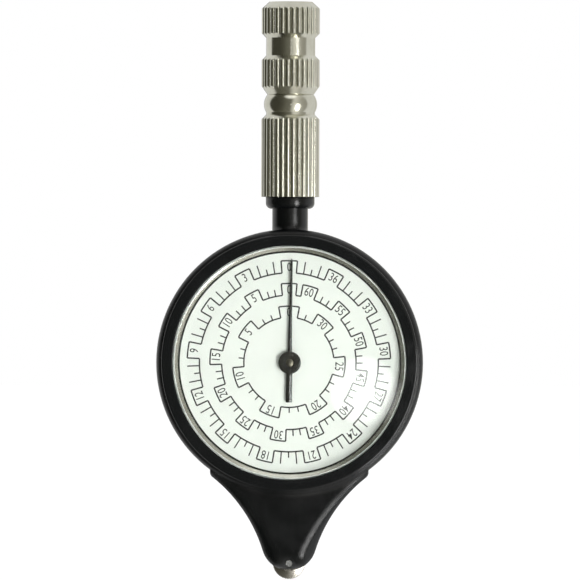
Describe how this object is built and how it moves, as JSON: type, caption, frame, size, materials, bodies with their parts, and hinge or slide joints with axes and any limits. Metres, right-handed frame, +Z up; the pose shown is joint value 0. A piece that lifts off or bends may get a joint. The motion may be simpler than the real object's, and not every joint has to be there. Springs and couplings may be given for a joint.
{
  "type": "opisometer map measurer",
  "caption": "Hand-held map measurer: a serrated tracing wheel turns pointers over round dials on both faces through a gear train, under a fluted metal handle.",
  "frame": {"origin": "the point where the tracing wheel touches the map, below the middle of the case", "axes": "+Z up along the handle, -Y out of the front dial, +X to the right seen from the front"},
  "size_m": [0.0426, 0.013, 0.0924],
  "materials": {
    "case_black": "glossy black moulded plastic",
    "bezel_black": "glossy black moulded plastic",
    "crystal": "clear polished acrylic",
    "dial_white": "matt off-white lacquer with black printing",
    "hand_black": "gloss black lacquer",
    "brass": "turned and milled brass",
    "steel": "turned steel",
    "wheel_steel": "polished serrated steel",
    "nickel": "polished nickel plate on brass"
  },
  "bodies": {
    "case": {"front_case": "case_black", "rear_case": "case_black", "front_bezel": "bezel_black", "rear_bezel": "bezel_black", "front_crystal": "crystal", "rear_crystal": "crystal", "front_ring": "nickel", "rear_ring": "nickel", "front_dial": "dial_white", "rear_dial": "dial_white", "front_plate": "brass", "rear_plate": "brass", "frame_pillars": "brass", "frame_screws": "steel", "spindle_bushes": "brass", "stem_collar": "case_black", "handle_stud": "steel", "handle": "nickel"},
    "wheel_set": {"tracing_wheel": "wheel_steel", "wheel_axle": "steel", "wheel_pinion": "steel", "axle_spacer": "brass"},
    "first_set": {"first_arbor": "steel", "first_gear": "brass", "first_pinion": "steel"},
    "second_set": {"second_arbor": "steel", "second_gear": "brass", "second_pinion": "steel"},
    "pointer_set": {"centre_spindle": "brass", "centre_gear": "brass", "front_hand": "hand_black", "rear_hand": "hand_black"}
  },
  "joints": [
    {"name": "pointer_turn", "type": "hinge", "parent": "case", "child": "pointer_set", "pos_m": [0, 0, 0.03467], "axis": [0, 1, 0], "continuous": true},
    {"name": "second_turn", "type": "hinge", "parent": "case", "child": "second_set", "pos_m": [0, 0, 0.01667], "axis": [0, 1, 0], "continuous": true},
    {"name": "first_turn", "type": "hinge", "parent": "case", "child": "first_set", "pos_m": [0, 0, 0.00683], "axis": [0, 1, 0], "continuous": true},
    {"name": "wheel_turn", "type": "hinge", "parent": "case", "child": "wheel_set", "pos_m": [0, 0, 0.00263], "axis": [0, 1, 0], "continuous": true}
  ],
  "couplings": [
    {"joint": "second_turn", "follows": "pointer_turn", "ratio": -5},
    {"joint": "first_turn", "follows": "pointer_turn", "ratio": 15},
    {"joint": "wheel_turn", "follows": "pointer_turn", "ratio": -60}
  ]
}
